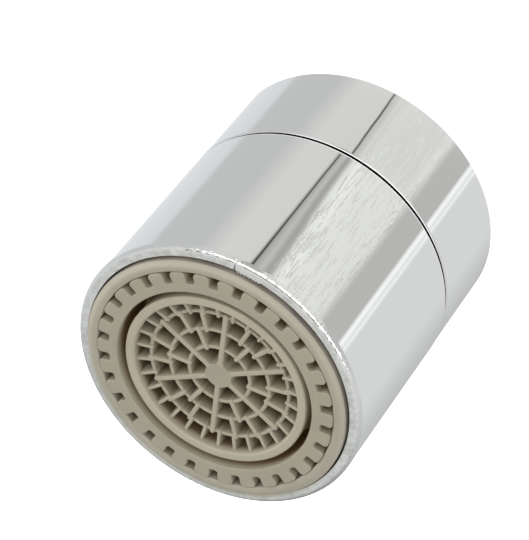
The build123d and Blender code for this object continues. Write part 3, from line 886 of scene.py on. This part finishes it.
# The hub and its spokes are one star: between two spokes its edge is an arc of the hub that bends
# into each spoke with a fillet
spoke_end = ring_radii[-1] + ring_thickness / 2 + overrun
half_spoke = spoke_width / 2
fillet_across = half_spoke + hub_round
fillet_out = np.sqrt((hub_radius + hub_round) ** 2 - fillet_across**2)
sector = 2 * np.pi / spoke_count
fillet_turn = np.arctan2(fillet_across, fillet_out)
end_arc = np.linspace(-np.pi / 2, np.pi / 2, 9)
spoke_end_points = np.column_stack(
    [spoke_end - half_spoke + half_spoke * np.cos(end_arc), half_spoke * np.sin(end_arc)]
)
fillet_arc = np.linspace(-np.pi / 2, -np.pi + fillet_turn, 7)
fillet_points = np.column_stack(
    [fillet_out + hub_round * np.cos(fillet_arc), fillet_across + hub_round * np.sin(fillet_arc)]
)
hub_arc = np.linspace(fillet_turn, sector / 2, 5)[1:]
hub_points = hub_radius * np.column_stack([np.cos(hub_arc), np.sin(hub_arc)])
sides = np.linspace(spoke_end - half_spoke, fillet_out, 8)[1:-1]
side_points = np.column_stack([sides, np.full(6, half_spoke)])
half_star = np.concatenate([side_points, fillet_points, hub_points])
mirrored = half_star[::-1][1:] * [1, -1]
one_arm = np.concatenate([mirrored, spoke_end_points, half_star])
arms = []
for arm in range(spoke_count):
    turn = spoke_angle + sector * arm
    cos, sin = np.cos(turn), np.sin(turn)
    arms.append(one_arm @ np.array([[cos, sin], [-sin, cos]]))
grid_shells.append((wall(np.concatenate(arms), grid_top), False, 0))
reach = ring_thickness / 2 + overrun - cell_width / 2
for ring, radius in enumerate(ring_radii[:-1], start=1):
    for cell in range(1, ring + 1):
        grid_shells += radial_walls(
            radius - reach,
            radius + ring_pitch + reach,
            cell_width,
            spoke_count,
            spoke_angle + sector * cell / (ring + 1),
        )
grid_shells += radial_walls(
    ring_radii[-1] - ring_thickness / 2 - overrun + outer_width / 2,
    tube_inner + into_tube,
    outer_width,
    outer_count,
    spoke_angle + outer_angle,
    outer_rise,
)
# Painted light on the tube's outer wall, lighter further down the groove, and painted shade on its
# inner wall
tube_painted_light = (face_z - 0.6, face_z - 2.8, (1.5, 1.3, 1.05))
well_painted_shade = (face_z - 0.45, face_z - 1.45, (0.3, 0.225, 0.165))
tube_plastic_painted_light = moulded_plastic("tube_plastic_painted_light", beige, 0.025, 7000, 0.5, tube_painted_light)
gate_plastic = moulded_plastic("gate_plastic", (0.345, 0.318, 0.242), 0.03, 7000, 0.5)
well_plastic_painted_shade = moulded_plastic("well_plastic_painted_shade", beige, 0.025, 7000, 0.5, well_painted_shade)
grid = piece(
    "outlet_grid_moulding",
    grid_shells,
    [beige_plastic, tube_plastic_painted_light, gate_plastic, well_plastic_painted_shade],
    50,
)
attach(grid, "head")
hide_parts("outlet_grid")


# Table and light: a plain white table in a bright tent. Tall grey cards stand between the lamps
# all round, and the chrome shows them as upright bands. In what it mirrors, the tent's white
# base stands in for the table.

floor_size, floor_gap = 1.5, 0.00002
floor_mesh = bpy.data.meshes.new("floor")
corners = np.array([(-1, -1, 0), (1, -1, 0), (1, 1, 0), (-1, 1, 0)]) * floor_size
floor_mesh.from_pydata(corners - [0, 0, floor_gap], [], [(0, 1, 2, 3)])
floor = bpy.data.objects.new("floor", floor_mesh)
bpy.context.scene.collection.objects.link(floor)
floor.visible_glossy = False
floor_material, floor_tree = new_material("white_floor")[:2]
floor_surface = add(
    floor_tree,
    "ShaderNodeBsdfPrincipled",
    {
        "Base Color": (0.9, 0.9, 0.9, 1),
        "Roughness": 0.9,
        "Emission Color": (1, 1, 1, 1),
        "Emission Strength": 0.75,
    },
)
add(floor_tree, "ShaderNodeOutputMaterial", {"Surface": floor_surface.outputs["BSDF"]})
floor_mesh.materials.append(floor_material)

world = bpy.data.worlds.new("light_tent")
bpy.context.scene.world = world
world.use_nodes = True
sky = world.node_tree
sky.nodes.clear()
direction = add(sky, "ShaderNodeTexCoord").outputs["Generated"]
heading = add(sky, "ShaderNodeSeparateXYZ", {"Vector": direction})
climb = heading.outputs["Z"]
compass = calculated(sky, "ARCTAN2", heading.outputs["Y"], heading.outputs["X"])
turn_share = add(
    sky, "ShaderNodeMapRange", {"Value": compass, "From Min": -np.pi, "From Max": np.pi}
).outputs["Result"]
neutral, warm, cool = (1, 1, 1), (1, 1.005, 0.96), (0.985, 1, 1.02)


def share_of_turn(degrees):
    """Compass angle from -180 to 180 degrees as a share of the full turn."""
    return (degrees + 180) / 360


def card_ring(cards, share=turn_share):
    """Ring of cards round the object: (compass angle in degrees, brightness, tint) at each stop,
    and a straight change between stops."""
    ramp = add(sky, "ShaderNodeValToRGB", {"Fac": share})
    stops = ramp.color_ramp.elements
    for index, (degrees, brightness, tint) in enumerate(cards):
        stop = stops[index] if index < 2 else stops.new(share_of_turn(degrees))
        stop.position = share_of_turn(degrees)
        stop.color = (*[brightness * part for part in tint], 1)
    return ramp.outputs["Color"]


# The striped card beside the dark line is a fan: a point d on from the line is read at
# d + k d (1 - d / fan_span), where k grows as the direction gets steeper
line_degrees, fan_degrees = -68.6, 31
fan_low, fan_high = -0.739, -0.701
fan_most, fan_least = 0.75, -0.25
fan_span = fan_degrees / 360
past_line = calculated(sky, "SUBTRACT", share_of_turn(line_degrees), turn_share)
span_left = calculated(sky, "SUBTRACT", 1.0, calculated(sky, "DIVIDE", past_line, fan_span))
fan_shift = calculated(sky, "MAXIMUM", calculated(sky, "MULTIPLY", past_line, span_left), 0.0)
fan_shift = calculated(
    sky, "MULTIPLY", fan_shift, between(sky, climb, fan_low, fan_high, fan_most, fan_least)
)
low_cards = card_ring(
    (
        (-180, 0.75, neutral),
        (-165, 0.75, neutral),
        (-163.5, 1.05, neutral),
        (-161.8, 0.88, neutral),
        (-160.4, 0.88, neutral),
        (-159, 1.05, neutral),
        (-157, 1.05, neutral),
        (-155, 0.53, warm),
        (-137, 0.53, warm),
        (-130, 0.83, warm),
        (-98, 0.86, warm),
        (-92, 0.95, warm),
        (-86, 0.85, warm),
        (-82.5, 0.46, warm),
        (-79.5, 0.4, warm),
        (-75, 0.59, warm),
        (-70, 0.43, warm),
        (-69, 0.02, warm),
        (-68.2, 0.02, warm),
        (-67.2, 0.72, warm),
        (-44, 0.73, warm),
        (-26, 0.59, neutral),
        (12, 0.59, neutral),
        (20, 0.75, cool),
        (54, 0.8, cool),
        (68, 1.3, neutral),
        (80, 1.3, neutral),
        (90, 0.7, neutral),
        (100, 0.53, cool),
        (120, 0.6, neutral),
        (145, 0.74, neutral),
        (180, 0.75, neutral),
    ),
    calculated(sky, "SUBTRACT", turn_share, fan_shift),
)
# Lower still, where the collar mirrors, a thin dark line leans and has no stripes beside it
lean_from, lean_per_climb = -0.761, 0.5
lean_shift = calculated(
    sky, "MULTIPLY", calculated(sky, "SUBTRACT", climb, lean_from), lean_per_climb
)
line_card = card_ring(
    (
        (-130, 0.73, warm),
        (-98, 0.74, warm),
        (-84, 0.77, warm),
        (-81, 0.7, warm),
        (-79, 0.77, warm),
        (-77, 0.67, warm),
        (-72.6, 0.58, warm),
        (-71.9, 0.03, warm),
        (-71.3, 0.03, warm),
        (-70.3, 0.72, warm),
        (-60, 0.72, warm),
    ),
    calculated(sky, "ADD", turn_share, lean_shift),
)
in_line_card = calculated(
    sky,
    "MULTIPLY",
    between(sky, turn_share, share_of_turn(-130), share_of_turn(-122)),
    between(sky, turn_share, share_of_turn(-64), share_of_turn(-58), 1, 0),
)
collar_seen_to, housing_seen_from = -0.7393, -0.7386
below_seam = between(sky, climb, collar_seen_to, housing_seen_from, 1, 0)
low_cards = mixed(
    sky, calculated(sky, "MULTIPLY", in_line_card, below_seam), low_cards, line_card
)
level_cards = card_ring(
    (
        (-180, 0.7, neutral),
        (-155, 0.58, neutral),
        (-137, 0.53, warm),
        (-130, 0.8, warm),
        (-98, 0.84, warm),
        (-86, 0.82, warm),
        (-80, 0.5, warm),
        (-70, 0.45, warm),
        (-64, 0.7, warm),
        (-48, 0.72, warm),
        (-30, 0.6, neutral),
        (6, 0.6, neutral),
        (30, 0.7, cool),
        (58, 0.65, cool),
        (72, 0.32, neutral),
        (110, 0.32, neutral),
        (130, 0.5, neutral),
        (150, 0.6, neutral),
        (180, 0.7, neutral),
    )
)
# From below upwards: the white base, the low cards, the level cards, and the tent's roof with a
# long window in it on the near side, about 40 to 73 degrees up. Each pair is where one starts to
# go over into the next and where that ends, as the sine of the height angle
base_ends, low_cards_end, level_cards_end = (-0.8, -0.75), (-0.66, -0.58), (0.45, 0.62)
window_starts, window_ends, window_edge = (0.62, 0.68), (0.945, 0.97), (0.1, 0.22)
base_white, roof_white, window_white = (1.1, 1.1, 1.1, 1), (0.72, 0.72, 0.7, 1), (1.7, 1.7, 1.7, 1)
window_side = (-0.186, -0.983, 0)
cards = mixed(sky, between(sky, climb, *low_cards_end), low_cards, level_cards)
above_base = mixed(sky, between(sky, climb, *base_ends), base_white, cards)
tent = mixed(sky, between(sky, climb, *level_cards_end), above_base, roof_white)
towards_window = add(
    sky, "ShaderNodeVectorMath", {0: direction, 1: window_side}, operation="DOT_PRODUCT"
).outputs["Value"]
window = calculated(
    sky,
    "MULTIPLY",
    between(sky, towards_window, *window_edge),
    between(sky, climb, *window_starts),
)
window = calculated(sky, "MULTIPLY", window, between(sky, climb, *window_ends, 1, 0))
seen = mixed(sky, window, tent, window_white)
# The tent's cloth lets little light through to matt surfaces, which the three panels light, and
# what shows behind the part is plain white
ray = add(sky, "ShaderNodeLightPath")
for kind, shade in (("Is Diffuse Ray", 0.26), ("Is Camera Ray", 1.0)):
    seen = mixed(sky, ray.outputs[kind], seen, (shade, shade, shade, 1))
background = add(sky, "ShaderNodeBackground", {"Color": seen, "Strength": 1.0})
add(sky, "ShaderNodeOutputWorld", {"Surface": background.outputs[0]})

# Each panel stands at a compass angle and a height angle, in degrees, and faces the outlet
outlet_point = Vector((0, 0, 0.028))
panel_reach, panel_size = 0.45, 0.5
for name, compass_angle, height_angle, power in (
    ("near_panel", -80, 33, 1.42),
    ("left_panel", 12, 25, 1.64),
    ("right_panel", 182, 25, 1.12),
):
    panel_data = bpy.data.lights.new(name, "AREA")
    panel_data.energy = power
    panel_data.size = panel_size
    panel = bpy.data.objects.new(name, panel_data)
    bpy.context.scene.collection.objects.link(panel)
    panel.visible_glossy = False
    compass_angle, height_angle = np.radians(compass_angle), np.radians(height_angle)
    level_part = np.cos(height_angle)
    away = Vector(
        (
            level_part * np.cos(compass_angle),
            level_part * np.sin(compass_angle),
            np.sin(height_angle),
        )
    )
    facing = away.to_track_quat("Z", "Y").to_matrix().to_4x4()
    panel.matrix_world = Matrix.Translation(outlet_point + away * panel_reach) @ facing


# Camera: it looks down on the outlet from beyond it and is rolled so far that the outlet end comes
# lowest in the picture. The lens is long, because the two ends look nearly the same size.

picture_right = (-0.84859657, -0.28738325, -0.44417872)
picture_up = (0.51244754, -0.65513951, -0.5551484)
line_of_sight = (0.13145868, 0.69871532, -0.70321797)
station = (-0.028583, -0.165233, 0.180161)
camera_data = bpy.data.cameras.new("camera")
camera_data.sensor_fit = "HORIZONTAL"
camera_data.sensor_width = 36
camera_data.lens = 187.842
camera_data.clip_start, camera_data.clip_end = 0.01, 10
camera = bpy.data.objects.new("camera", camera_data)
bpy.context.scene.collection.objects.link(camera)
backwards = tuple(-part for part in line_of_sight)
camera.matrix_world = Matrix(
    [*zip(picture_right, picture_up, backwards, station), (0, 0, 0, 1)]
)
bpy.context.scene.camera = camera
bpy.context.scene.view_settings.view_transform = "Standard"
